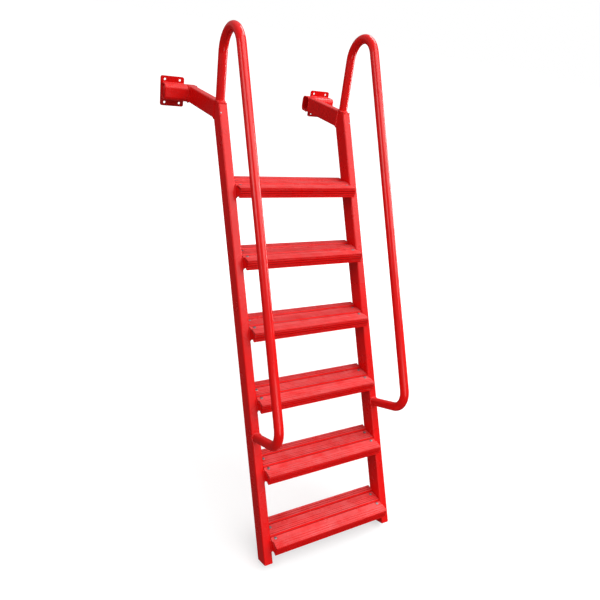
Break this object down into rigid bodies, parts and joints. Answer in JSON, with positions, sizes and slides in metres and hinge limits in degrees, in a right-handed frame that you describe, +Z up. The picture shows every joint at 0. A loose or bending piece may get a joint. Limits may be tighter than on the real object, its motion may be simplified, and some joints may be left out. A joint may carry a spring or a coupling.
{
  "type": "dock ladder",
  "caption": "Leaning dock ladder with ribbed treads, two looped handrails and arms ending in bolted wall brackets.",
  "frame": {"origin": "centre of the left bracket plate's back face, on the wall", "axes": "+X along the ladder's width to the right, +Y out of the brackets' back faces into the wall, +Z up"},
  "size_m": [0.896, 1.4221, 2.0195],
  "materials": {
    "frame_paint": "glossy red powder coat",
    "rail_paint": "glossy red powder coat",
    "tread_paint": "satin red powder coat"
  },
  "bodies": {
    "root": {"stringer_left": "frame_paint", "stringer_cap_left": "frame_paint", "arm_left": "frame_paint", "cross_tube_left": "frame_paint", "tube_cap_left": "frame_paint", "bracket_plate_left": "frame_paint", "handrail_left": "rail_paint", "stringer_right": "frame_paint", "stringer_cap_right": "frame_paint", "arm_right": "frame_paint", "cross_tube_right": "frame_paint", "tube_cap_right": "frame_paint", "bracket_plate_right": "frame_paint", "handrail_right": "rail_paint", "tread_1": "tread_paint", "tread_2": "tread_paint", "tread_3": "tread_paint", "tread_4": "tread_paint", "tread_5": "tread_paint", "tread_6": "tread_paint", "cleat_left_1": "frame_paint", "cleat_left_2": "frame_paint", "cleat_left_3": "frame_paint", "cleat_left_4": "frame_paint", "cleat_left_5": "frame_paint", "cleat_left_6": "frame_paint", "cleat_right_1": "frame_paint", "cleat_right_2": "frame_paint", "cleat_right_3": "frame_paint", "cleat_right_4": "frame_paint", "cleat_right_5": "frame_paint", "cleat_right_6": "frame_paint"}
  },
  "joints": []
}
